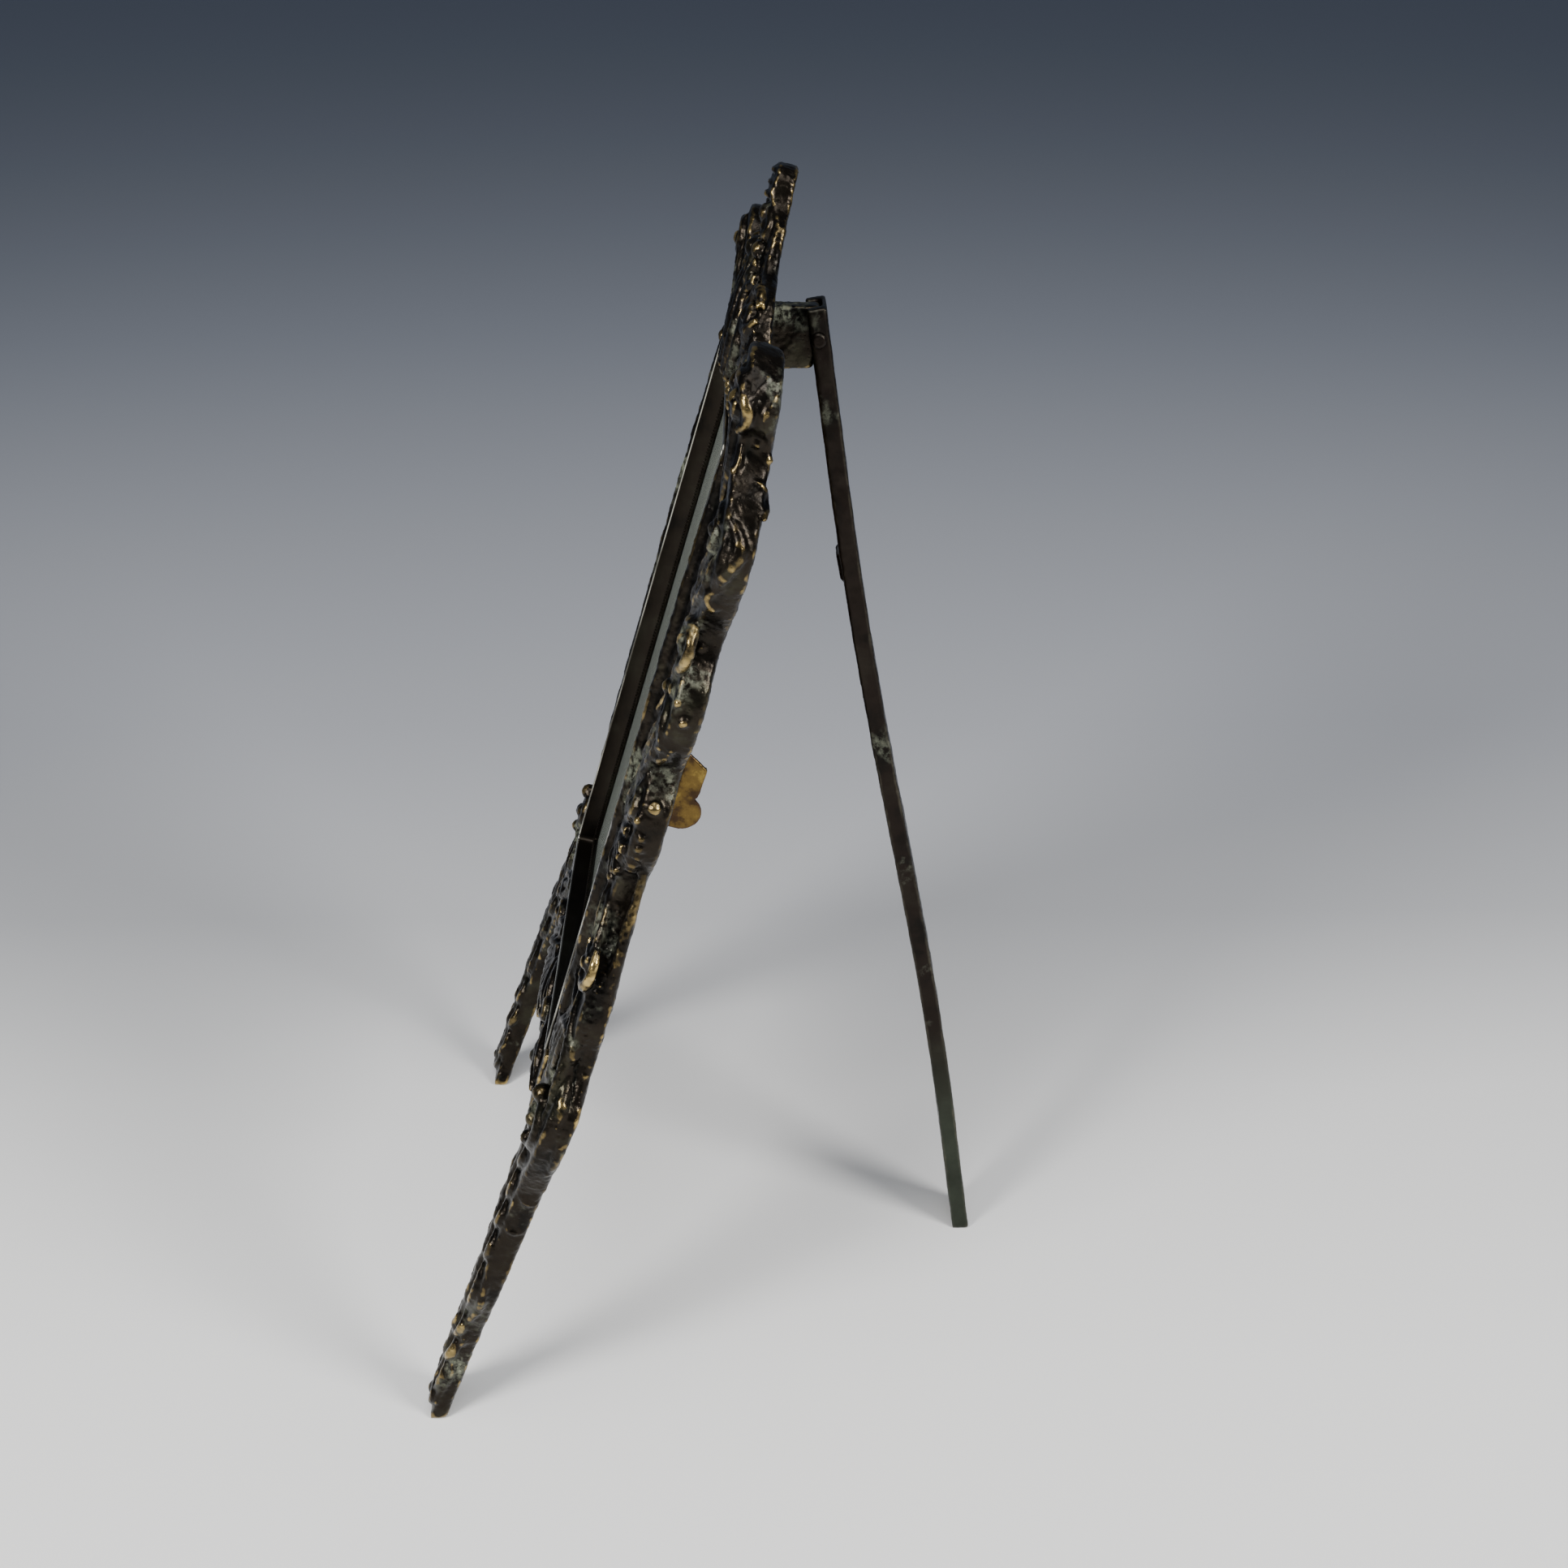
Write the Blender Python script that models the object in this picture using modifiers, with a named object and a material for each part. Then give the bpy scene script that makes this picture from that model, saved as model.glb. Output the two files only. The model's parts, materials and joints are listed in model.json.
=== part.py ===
"""Easel-backed cast brass photograph frame, modelled standing open on its strut.

A leaning group holds the rim, the four border castings, the glass, the card and the back board.
The strut and the two turn clips each hang on an empty that sits on their own joint's axis.
In the leaning group X runs across, Y runs out of the back and Z runs up the frame's own plane.
Run it with: blender --background --python part.py
"""

import math

import bmesh
import bpy
from mathutils import Matrix, Vector

# Driving dimensions, in metres. Heights are up the leaning plane, from the line of the feet.
LEAN = math.radians(16.7)  # how far the frame leans back

RIM_WIDTH = 0.1115  # outside of the straight-sided rim
RIM_HEIGHT = 0.170
RIM_BOTTOM = 0.107
RIM_DEPTH = 0.011  # front edge to back edge
RIM_WALL = 0.0013
RIM_CORNER = 0.003
LEDGE_WIDTH = 0.0022  # the lip inside the rim that the glass lies against
LEDGE_THICKNESS = 0.0009

SEAT_GAP = 0.0003  # between pieces that touch
SIDE_PLAY = 0.0003  # round the edges of the glass, card and board
GLASS_THICKNESS = 0.0016
CARD_THICKNESS = 0.0006
BOARD_THICKNESS = 0.0020
BOARD_SET = 0.0002  # how far the board's back lies inside the rim's back edge

CASTING_FRONT = 0.0035  # how far the side castings' ground lies behind the rim's front edge
LEG_GAP = 0.014  # the legs' outline starts this far under the rim
SWEEP_RISE = 0.011  # the castings sweep forward into the feet from this far above the rim's bottom
FOOT_FRONT = -0.0035  # the foot's front and back faces, from the rim's front plane
FOOT_BACK = 0.0010
SCROLL_REACH = 0.022  # the side castings curl forward from this far below the rim's top
SCROLL_RISE = 0.026  # and end this far above it
SCROLL_CURL = 0.0050

CREST_RISE = 0.051  # above the rim's top
CREST_FRONT = -0.0030
CREST_BACK = 0.0105  # at the crest's foot
CREST_TIP_FRONT = -0.0018
CREST_TIP_BACK = 0.0030
APRON_FRONT = 0.0005
APRON_BACK = 0.0100

PIVOT_RISE = 0.0152  # the strut's pin, above the rim's top and out of the back
PIVOT_OFFSET = 0.0186
PIN_RADIUS = 0.0009
PIN_PLAY = 0.0001
PIN_HEAD_RADIUS = 0.0019
PIN_HEAD_THICKNESS = 0.0008
LUG_WIDTH = 0.0060
LUG_WALL = 0.0007  # metal round the pin
LUG_RISE = 0.0070  # pin to the lug's upper and lower edges
LUG_DROP = 0.0078
LUG_ROOT = 0.0030  # how far the lug runs into the crest

STRUT_WIDTH = 0.0130
STRUT_THICKNESS = 0.0048
STRUT_ANGLE = math.radians(9.3)  # from the pin to the foot, out from the vertical
STRUT_BOW = 0.0015
STRUT_RISE = 0.0074  # the strut's end above the pin
STRUT_WEB = 0.0010  # the wall that joins the fork's cheeks behind the lug
FORK_PLAY = 0.0004
FORK_DROP = 0.0118  # pin to the bottom of the fork's slot
PAD_TOP = 0.0560  # a small filed pad on the strut's front, below the pin
PAD_LENGTH = 0.0070
PAD_PROUD = 0.0008

CLIP_SHEET = 0.0010
CLIP_OUT = 0.00475  # a clip's rivet, out from the rim's side
CLIP_SHARE = 0.488  # and up its height
CLIP_ARM = 0.0115  # rivet to the end of the arm that lies on the board
CLIP_HEEL = 0.0040  # rivet to the thumb piece
CLIP_HALF_WIDTH = 0.0042
CLIP_THUMB = 0.0160  # rivet to the top of the thumb piece
THUMB_HEIGHT = 0.0064  # how far the thumb piece stands off the back
THUMB_LOBE = 0.0080
THUMB_LIP = 0.0026
RIVET_RADIUS = 0.0012
RIVET_PLAY = 0.0001
RIVET_HEAD_RADIUS = 0.0023
RIVET_HEAD_THICKNESS = 0.0011
RIVET_DEPTH = 0.0050

# Places that follow from the sizes above.
RIM_TOP = RIM_BOTTOM + RIM_HEIGHT
RIM_MIDDLE = (RIM_BOTTOM + RIM_TOP) / 2
RIM_SIDE = RIM_WIDTH / 2
SIDE_INNER = RIM_SIDE + SEAT_GAP
LEG_TOP = RIM_BOTTOM - LEG_GAP
SWEEP_TOP = RIM_BOTTOM + SWEEP_RISE
SCROLL_START = RIM_TOP - SCROLL_REACH
SCROLL_TOP = RIM_TOP + SCROLL_RISE
CREST_TOP = RIM_TOP + CREST_RISE
PIVOT_HEIGHT = RIM_TOP + PIVOT_RISE
CLIP_ACROSS = RIM_SIDE + CLIP_OUT
CLIP_UP = RIM_BOTTOM + RIM_HEIGHT * CLIP_SHARE
BOARD_FRONT = RIM_DEPTH - BOARD_SET - BOARD_THICKNESS
CARD_FRONT = BOARD_FRONT - SEAT_GAP - CARD_THICKNESS
GLASS_FRONT = CARD_FRONT - SEAT_GAP - GLASS_THICKNESS
LEDGE_DEPTH = GLASS_FRONT - SEAT_GAP - LEDGE_THICKNESS  # front edge of the rim to the ledge
INSERT_WIDTH = RIM_WIDTH - 2 * (RIM_WALL + SIDE_PLAY)
INSERT_HEIGHT = RIM_HEIGHT - 2 * (RIM_WALL + SIDE_PLAY)
FORK_REACH = PIN_RADIUS + PIN_PLAY + LUG_WALL + SEAT_GAP  # pin to the web's inner face
STRUT_BACK = FORK_REACH + STRUT_WEB
PIVOT_Y = PIVOT_HEIGHT * math.sin(LEAN) + PIVOT_OFFSET * math.cos(LEAN)
PIVOT_Z = PIVOT_HEIGHT * math.cos(LEAN) - PIVOT_OFFSET * math.sin(LEAN)
STRUT_LENGTH = PIVOT_Z / math.cos(STRUT_ANGLE)
FOOTPRINT_FRONT = FOOT_FRONT / math.cos(LEAN)
FOOTPRINT_BACK = PIVOT_Y + PIVOT_Z * math.tan(STRUT_ANGLE) + STRUT_BACK / math.cos(STRUT_ANGLE)
FOOTPRINT_MIDDLE = (FOOTPRINT_FRONT + FOOTPRINT_BACK) / 2

ROUND_SIDES = 24
CURVE_STEPS = 4
CUT_REACH = 0.010  # how far a cutter runs past what it cuts


def clear_scene():
    for obj in list(bpy.data.objects):
        bpy.data.objects.remove(obj)


def make_collection(name):
    collection = bpy.data.collections.new(name)
    bpy.context.scene.collection.children.link(collection)
    return collection


def make_material(name, color, roughness, metallic=0.0, alpha=1.0):
    material = bpy.data.materials.new(name)
    material.use_nodes = True
    shader = material.node_tree.nodes["Principled BSDF"]
    shader.inputs["Base Color"].default_value = (*color, 1.0)
    shader.inputs["Roughness"].default_value = roughness
    shader.inputs["Metallic"].default_value = metallic
    shader.inputs["Alpha"].default_value = alpha
    return material


def make_empty(name, location, turn=0.0, parent=None):
    empty = bpy.data.objects.new(name, None)
    PARTS.objects.link(empty)
    empty.parent = parent
    empty.location = location
    empty.rotation_euler = (turn, 0, 0)
    return empty


def settle(obj, name, material, parent, collection=None):
    """Names a finished object, gives it its material and hangs it on its group."""
    for home in list(obj.users_collection):
        home.objects.unlink(obj)
    (collection or PARTS).objects.link(obj)
    obj.name = name
    obj.data.name = name
    if material:
        obj.data.materials.append(material)
    obj.parent = parent
    return obj


def as_cutter(obj, parent=None):
    settle(obj, obj.name, None, parent, CUTTERS)
    obj.hide_render = True
    obj.display_type = "WIRE"
    return obj


def block(size, centre):
    """A box of this size, with its place in its mesh."""
    bpy.ops.mesh.primitive_cube_add(size=1)
    obj = bpy.context.object
    obj.data.transform(Matrix.Translation(centre) @ Matrix.Diagonal((*size, 1)))
    return obj


def block_between(low, high):
    low, high = Vector(low), Vector(high)
    return block(high - low, (low + high) / 2)


def rod(radius, length, centre, axis):
    """A cylinder along X or Y, with its place in its mesh."""
    bpy.ops.mesh.primitive_cylinder_add(vertices=ROUND_SIDES, radius=radius, depth=length)
    obj = bpy.context.object
    turn = Matrix.Rotation(math.pi / 2, 4, "Y" if axis == "X" else "X")
    obj.data.transform(Matrix.Translation(centre) @ turn)
    return obj


def turned(profile, axis):
    """A solid of revolution about X or Y, from (radius, along) points that start and end on the axis."""
    mesh = bpy.data.meshes.new("turned")
    edges = [(i, i + 1) for i in range(len(profile) - 1)]
    mesh.from_pydata([(radius, 0, along) for radius, along in profile], edges, [])
    obj = bpy.data.objects.new("turned", mesh)
    bpy.context.scene.collection.objects.link(obj)
    screw = obj.modifiers.new("Screw", "SCREW")
    screw.steps = ROUND_SIDES
    screw.render_steps = ROUND_SIDES
    screw.use_merge_vertices = True
    screw.merge_threshold = 0.00001
    solid = as_mesh(obj)
    turn = Matrix.Rotation(math.pi / 2, 4, "Y") if axis == "X" else Matrix.Rotation(-math.pi / 2, 4, "X")
    solid.data.transform(turn)
    return solid


def as_mesh(source):
    """The evaluated shape of a curve or a mesh with modifiers, as a closed mesh of its own."""
    bpy.context.view_layer.update()
    evaluated = source.evaluated_get(bpy.context.evaluated_depsgraph_get())
    mesh = bpy.data.meshes.new_from_object(evaluated)
    made = bmesh.new()
    made.from_mesh(mesh)
    bmesh.ops.remove_doubles(made, verts=made.verts, dist=0.00001)
    bmesh.ops.recalc_face_normals(made, faces=made.faces)
    made.to_mesh(mesh)
    made.free()
    obj = bpy.data.objects.new(source.name, mesh)
    bpy.context.scene.collection.objects.link(obj)
    obj.matrix_world = source.matrix_world
    bpy.data.objects.remove(source)
    return obj


def flat_outline(rings, thickness, plane, sharp=()):
    """A plate cut from smooth closed outlines: the first ring is the edge and the others are holes.

    plane XZ takes (across, up) points and gives the plate its thickness along Y, centred on zero.
    plane YZ takes (back, up) points and gives it its thickness along X. sharp holds the edge's corners.
    """
    curve = bpy.data.curves.new("outline", "CURVE")
    curve.dimensions = "2D"
    curve.fill_mode = "BOTH"
    curve.extrude = thickness / 2
    curve.resolution_u = CURVE_STEPS
    for ring_number, ring in enumerate(rings):
        spline = curve.splines.new("BEZIER")
        spline.bezier_points.add(len(ring) - 1)
        spline.use_cyclic_u = True
        for index, (point, (a, b)) in enumerate(zip(spline.bezier_points, ring)):
            point.co = (a, b, 0)
            is_sharp = ring_number == 0 and index in sharp
            point.handle_left_type = point.handle_right_type = "VECTOR" if is_sharp else "AUTO"
    source = bpy.data.objects.new("outline", curve)
    bpy.context.scene.collection.objects.link(source)
    plate = as_mesh(source)
    if plane == "XZ":
        plate.data.transform(Matrix.Rotation(math.pi / 2, 4, "X"))
    else:
        # Curve X runs back, curve Y runs up and the thickness runs across.
        plate.data.transform(Matrix(((0, 0, 1, 0), (1, 0, 0, 0), (0, 1, 0, 0), (0, 0, 0, 1))))
    return plate


def cut(obj, cutter, operation="DIFFERENCE"):
    boolean = obj.modifiers.new(cutter.name, "BOOLEAN")
    boolean.operation = operation
    boolean.solver = "EXACT"
    boolean.object = cutter
    return obj


def mirrored(points):
    return [(-across, up) for across, up in reversed(points)]


def lay_between(plate, front_at, back_at):
    """Bends a flat plate so that its two faces follow front_at(height) and back_at(height)."""
    for vertex in plate.data.vertices:
        height = vertex.co.z
        vertex.co.y = back_at(height) if vertex.co.y > 0 else front_at(height)
    return plate


# The rim, and what lies inside it.


def rounded_opening(name, inset, front, back):
    """The cutter for one step of the rim's inside, this far in from its outer edge."""
    size = (RIM_WIDTH - 2 * inset, back - front, RIM_HEIGHT - 2 * inset)
    cutter = block(size, (0, (front + back) / 2, RIM_MIDDLE))
    cutter.name = name
    round_corners(cutter, max(RIM_CORNER - inset, RIM_WALL / 2))
    return as_cutter(cutter, FRAME)


def round_corners(obj, radius):
    """Rounds only the four edges that run from front to back."""
    made = bmesh.new()
    made.from_mesh(obj.data)
    edges = [e for e in made.edges if abs((e.verts[0].co - e.verts[1].co).normalized().y) > 0.9]
    bmesh.ops.bevel(made, geom=edges, offset=radius, segments=4, profile=0.5, affect="EDGES")
    made.to_mesh(obj.data)
    made.free()


def make_rim():
    rim = block((RIM_WIDTH, RIM_DEPTH, RIM_HEIGHT), (0, RIM_DEPTH / 2, RIM_MIDDLE))
    round_corners(rim, RIM_CORNER)
    settle(rim, "rim_box", DARK_BRASS, FRAME)
    ledge_back = LEDGE_DEPTH + LEDGE_THICKNESS
    cut(rim, rounded_opening("front_recess", RIM_WALL, -CUT_REACH, LEDGE_DEPTH))
    cut(rim, rounded_opening("sight_opening", RIM_WALL + LEDGE_WIDTH, -CUT_REACH, RIM_DEPTH + CUT_REACH))
    cut(rim, rounded_opening("back_rebate", RIM_WALL, ledge_back, RIM_DEPTH + CUT_REACH))


def make_insert(name, front, thickness, material):
    """One of the flat pieces that drop into the rim from behind."""
    sheet = block((INSERT_WIDTH, thickness, INSERT_HEIGHT), (0, front + thickness / 2, RIM_MIDDLE))
    round_corners(sheet, RIM_CORNER - RIM_WALL)
    return settle(sheet, name, material, FRAME)


# The border castings. Outline points are (across, up), for the half to the right of the centre line.


def leg_share(height):
    return min(max((SWEEP_TOP - height) / SWEEP_TOP, 0.0), 1.1)


def scroll_share(height):
    return max((height - SCROLL_START) / (SCROLL_TOP - SCROLL_START), 0.0)


def side_front(height):
    forward = (CASTING_FRONT - FOOT_FRONT) * leg_share(height) ** 0.8
    return CASTING_FRONT - forward - SCROLL_CURL * scroll_share(height) ** 1.3


def side_back(height):
    forward = (RIM_DEPTH - FOOT_BACK) * leg_share(height) ** 0.95
    return RIM_DEPTH - forward - SCROLL_CURL * scroll_share(height) ** 1.5


def up_leg(out, share):
    """A point this far out from the rim's side, at a share of the leg's height."""
    return RIM_SIDE + out, LEG_TOP * share


def up_rim(out, share):
    """A point this far out from the rim's side, at a share of the rim's height."""
    return RIM_SIDE + out, RIM_BOTTOM + RIM_HEIGHT * share


def side_outline():
    """The outer edge of a side casting: down the rim, round the foot and up the scrolls."""
    inner = [(SIDE_INNER, SCROLL_TOP - 0.014), (SIDE_INNER, LEG_TOP - 0.010)]
    leg_inside = [
        up_leg(0.0063, 0.774),
        up_leg(0.0123, 0.591),
        up_leg(0.0148, 0.409),
        up_leg(0.0153, 0.237),
        up_leg(0.0133, 0.086),
    ]
    foot = [
        (RIM_SIDE + 0.0118, -0.004),
        (RIM_SIDE + 0.0178, -0.007),
        (RIM_SIDE + 0.0238, -0.005),
        (RIM_SIDE + 0.0253, 0.004),
    ]
    leg_outside = [
        up_leg(0.0243, 0.172),
        up_leg(0.0253, 0.344),
        up_leg(0.0276, 0.538),
        up_leg(0.0273, 0.731),
        up_leg(0.0283, 0.925),
    ]
    lower_scroll = [
        up_rim(0.0323, -0.041),
        up_rim(0.0323, 0.035),
        up_rim(0.0253, 0.088),
        up_rim(0.0263, 0.176),
        up_rim(0.0223, 0.265),
    ]
    middle_shell = [
        up_rim(0.0163, 0.335),
        up_rim(0.0163, 0.394),
        up_rim(0.0223, 0.453),
        up_rim(0.0223, 0.529),
        up_rim(0.0183, 0.571),
    ]
    upper_leaf = [
        up_rim(0.0243, 0.629),
        up_rim(0.0263, 0.706),
        up_rim(0.0203, 0.776),
        up_rim(0.0263, 0.841),
        up_rim(0.0313, 0.912),
        up_rim(0.0273, 0.988),
    ]
    top_scroll = [
        (RIM_SIDE + 0.0213, RIM_TOP + 0.006),
        (RIM_SIDE + 0.0243, RIM_TOP + 0.016),
        (RIM_SIDE + 0.0183, SCROLL_TOP - 0.001),
        (RIM_SIDE + 0.0083, SCROLL_TOP),
    ]
    return inner + leg_inside + foot + leg_outside + lower_scroll + middle_shell + upper_leaf + top_scroll


def oval(centre, half_width, half_height):
    across, up = centre
    return [
        (across + half_width, up),
        (across, up + half_height),
        (across - half_width, up),
        (across, up - half_height),
    ]


SIDE_HOLES = [
    oval(up_rim(0.0133, 0.959), 0.0050, 0.0080),
    oval(up_rim(0.0113, 0.682), 0.0040, 0.0090),
    oval(up_rim(0.0103, 0.253), 0.0040, 0.0090),
    oval(up_rim(0.0153, 0.029), 0.0055, 0.0065),
]


def make_side(name, side):
    """One side casting with its foot. side is 1 on the right and -1 on the left."""
    rings = [side_outline(), *SIDE_HOLES]
    plate = flat_outline(rings, RIM_DEPTH, "XZ", sharp=(0, 1))
    lay_between(plate, side_front, side_back)
    if side < 0:
        plate.data.transform(Matrix.Scale(-1, 4, (1, 0, 0)))
        plate.data.flip_normals()
    settle(plate, name, CAST_BRASS, FRAME)
    hole_length = RIVET_DEPTH + CUT_REACH
    place = (side * CLIP_ACROSS, RIM_DEPTH - RIVET_DEPTH + hole_length / 2 - SEAT_GAP, CLIP_UP)
    bore = rod(RIVET_RADIUS + RIVET_PLAY, hole_length, place, "Y")
    bore.name = name + "_rivet_hole"
    cut(plate, as_cutter(bore, FRAME))
    cut(plate, FLOOR_CUTTER)


def crest_share(height):
    return min(max((height - RIM_TOP) / (CREST_TOP - RIM_TOP), 0.0), 1.0)


def crest_front(height):
    return CREST_FRONT + (CREST_TIP_FRONT - CREST_FRONT) * crest_share(height) ** 6


def crest_back(height):
    return CREST_TIP_BACK + (CREST_BACK - CREST_TIP_BACK) * (1 - crest_share(height)) ** 2.2


def make_crest():
    """The crest with the strut's lug cast on its back."""
    base = RIM_TOP + SEAT_GAP
    half = [
        (RIM_SIDE - 0.001, base),
        (RIM_SIDE * 0.933, RIM_TOP + 0.010),
        (RIM_SIDE * 0.789, RIM_TOP + 0.015),
        (RIM_SIDE * 0.628, RIM_TOP + 0.013),
        (RIM_SIDE * 0.556, RIM_TOP + 0.021),
        (RIM_SIDE * 0.430, RIM_TOP + 0.028),
        (RIM_SIDE * 0.305, RIM_TOP + 0.030),
        (0.013, CREST_TOP - 0.012),
        (0.007, CREST_TOP - 0.008),
        (0.005, CREST_TOP - 0.002),
    ]
    ring = half + [(0, CREST_TOP)] + mirrored(half)
    holes = [oval((side * RIM_SIDE * 0.466, RIM_TOP + 0.0125), 0.0045, 0.0035) for side in (1, -1)]
    crest = flat_outline([ring, *holes], RIM_DEPTH, "XZ", sharp=(0, len(ring) - 1))
    lay_between(crest, crest_front, crest_back)
    settle(crest, "crest_casting", CAST_BRASS, FRAME)
    cut(crest, make_lug(), "UNION")
    pin_hole = rod(PIN_RADIUS + PIN_PLAY, 2 * STRUT_WIDTH, (0, 0, 0), "X")
    pin_hole.name = "lug_pin_hole"
    cut(crest, as_cutter(pin_hole, PIVOT))


def make_lug():
    """The tongue that the strut's fork straddles, drawn about the pin in the strut's own frame.

    Above the pin its end is upright and stops the strut as it opens.
    Below the pin it is cut back, so that the strut can close.
    """
    round_end = PIN_RADIUS + PIN_PLAY + LUG_WALL
    root = PIVOT_OFFSET - crest_back(PIVOT_HEIGHT) + LUG_ROOT
    profile = [
        (round_end, 0),
        (round_end, LUG_RISE),
        (-root * 0.82, LUG_RISE + 0.0026),
        (-root, -LUG_DROP * 0.73),
        (-0.0026, -LUG_DROP),
        (round_end * 0.5, -round_end * 0.87),
    ]
    lug = flat_outline([profile], LUG_WIDTH, "YZ", sharp=range(len(profile) - 1))
    lug.name = "lug"
    return as_cutter(lug, PIVOT)


def make_apron():
    """The low ornament that fills the space under the rim, between the legs."""
    top = RIM_BOTTOM - SEAT_GAP
    end = RIM_SIDE - SEAT_GAP
    half = [
        (0.006, RIM_BOTTOM - 0.026),
        (0.014, RIM_BOTTOM - 0.021),
        (0.020, RIM_BOTTOM - 0.013),
        (0.031, RIM_BOTTOM - 0.013),
        (0.042, RIM_BOTTOM - 0.017),
        (end, RIM_BOTTOM - 0.020),
        (end, top),
    ]
    ring = [(0, RIM_BOTTOM - 0.028)] + half + mirrored(half)
    corners = (len(half) - 1, len(half), len(half) + 1, len(half) + 2)
    apron = flat_outline([ring], RIM_DEPTH, "XZ", sharp=corners)
    lay_between(apron, lambda height: APRON_FRONT, lambda height: APRON_BACK)
    settle(apron, "apron_casting", CAST_BRASS, FRAME)


# The strut, drawn about its pin: Y runs out of its back and Z runs up towards the pin.


def bow_at(share):
    """How far the strut wanders from the straight line between its pin and its foot."""
    return -STRUT_BOW * math.sin(2 * math.pi * share)


def make_strut():
    front, back = STRUT_BACK - STRUT_THICKNESS, STRUT_BACK
    foot = -STRUT_LENGTH - CUT_REACH
    stations = 12
    shares = [i / stations for i in range(1, stations)]
    ring = [(back, STRUT_RISE)]
    ring += [(back + bow_at(s), -STRUT_LENGTH * s) for s in shares]
    ring += [(back, foot), (front, foot)]
    ring += [(front + bow_at(s), -STRUT_LENGTH * s) for s in reversed(shares)]
    ring += [(front, STRUT_RISE)]
    corners = (0, stations, stations + 1, len(ring) - 1)
    strut = flat_outline([ring], STRUT_WIDTH, "YZ", sharp=corners)
    settle(strut, "strut", STRUT_BRASS, PIVOT)
    pad_place = (0, front, -PAD_TOP - PAD_LENGTH / 2)
    pad = block((STRUT_WIDTH * 0.6, 2 * (PAD_PROUD + STRUT_BOW), PAD_LENGTH), pad_place)
    pad.name = "strut_pad"
    cut(strut, as_cutter(pad, PIVOT), "UNION")
    half_slot = LUG_WIDTH / 2 + FORK_PLAY
    slot = block_between(
        (-half_slot, front - CUT_REACH, -FORK_DROP),
        (half_slot, FORK_REACH, STRUT_RISE + CUT_REACH),
    )
    slot.name = "fork_slot"
    cut(strut, as_cutter(slot, PIVOT))
    bore = rod(PIN_RADIUS + PIN_PLAY, 2 * STRUT_WIDTH, (0, 0, 0), "X")
    bore.name = "fork_pin_hole"
    cut(strut, as_cutter(bore, PIVOT))
    cut(strut, FLOOR_CUTTER)


def make_pin():
    """The pin through the fork and the lug, with both ends spread into low heads."""
    seat = STRUT_WIDTH / 2 + PIN_PLAY
    end = seat + PIN_HEAD_THICKNESS
    half = [(0, end), (PIN_HEAD_RADIUS * 0.7, end), (PIN_HEAD_RADIUS, seat + PIN_HEAD_THICKNESS * 0.4)]
    half += [(PIN_HEAD_RADIUS, seat), (PIN_RADIUS, seat)]
    profile = half + [(radius, -along) for radius, along in reversed(half)]
    settle(turned(profile, "X"), "hinge_pin", CLIP_BRASS, PIVOT)


# The turn clips. Each is drawn about its rivet: Y runs out of the frame's back and Z up its plane.
# The arm lies across the board's edge, and the thumb piece stands up along the outer side.


def make_clip(name, side):
    empty = make_empty(name + "_pivot", (side * CLIP_ACROSS, RIM_DEPTH, CLIP_UP), parent=FRAME)
    under, over = SEAT_GAP, SEAT_GAP + CLIP_SHEET
    arm = block_between(
        (-CLIP_ARM, under, -CLIP_HALF_WIDTH), (CLIP_HEEL, over, CLIP_HALF_WIDTH)
    )
    round_corners(arm, CLIP_HALF_WIDTH / 3)
    thumb_root = block_between(
        (0, under + PIN_PLAY / 2, 0), (CLIP_HEEL - PIN_PLAY, over - PIN_PLAY / 2, CLIP_THUMB - PIN_PLAY)
    )
    thumb_ring = thumb_outline(over)
    thumb = flat_outline([thumb_ring], CLIP_SHEET, "YZ", sharp=(0, 1, 2, 3, 4, len(thumb_ring) - 1))
    thumb.data.transform(Matrix.Translation((CLIP_HEEL - CLIP_SHEET / 2 + PIN_PLAY, 0, 0)))
    lip = block_between(
        (CLIP_HEEL - THUMB_LIP, THUMB_HEIGHT - CLIP_SHEET, THUMB_HEIGHT),
        (CLIP_HEEL - PIN_PLAY, THUMB_HEIGHT - PIN_PLAY, CLIP_THUMB * 0.78),
    )
    bore = rod(RIVET_RADIUS + RIVET_PLAY, 4 * CLIP_SHEET, (0, over, 0), "Y")
    tools = (("root", thumb_root), ("thumb", thumb), ("lip", lip), ("bore", bore))
    if side < 0:
        for solid in (arm, thumb_root, thumb, lip):
            solid.data.transform(Matrix.Scale(-1, 4, (1, 0, 0)))
            solid.data.flip_normals()
    settle(arm, name, CLIP_BRASS, empty)
    for tool_name, tool in tools:
        tool.name = name + "_" + tool_name
        cut(arm, as_cutter(tool, empty), "DIFFERENCE" if tool is bore else "UNION")


def thumb_outline(seat):
    """A straight finger above a round lobe. It starts inside the clip's base."""
    inside = seat - CLIP_SHEET / 2
    notch = CLIP_HALF_WIDTH * 1.15
    return [
        (inside, CLIP_THUMB),
        (seat, CLIP_THUMB),
        (THUMB_HEIGHT, CLIP_THUMB * 0.80),
        (THUMB_HEIGHT * 0.95, notch + CLIP_SHEET / 2),
        (THUMB_HEIGHT * 0.85, notch),
        (THUMB_LOBE * 0.94, CLIP_HALF_WIDTH * 0.65),
        (THUMB_LOBE, 0),
        (THUMB_LOBE * 0.80, -CLIP_HALF_WIDTH * 0.65),
        (THUMB_LOBE * 0.50, -CLIP_HALF_WIDTH * 0.92),
        (inside, -CLIP_HALF_WIDTH * 0.95),
    ]


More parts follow.
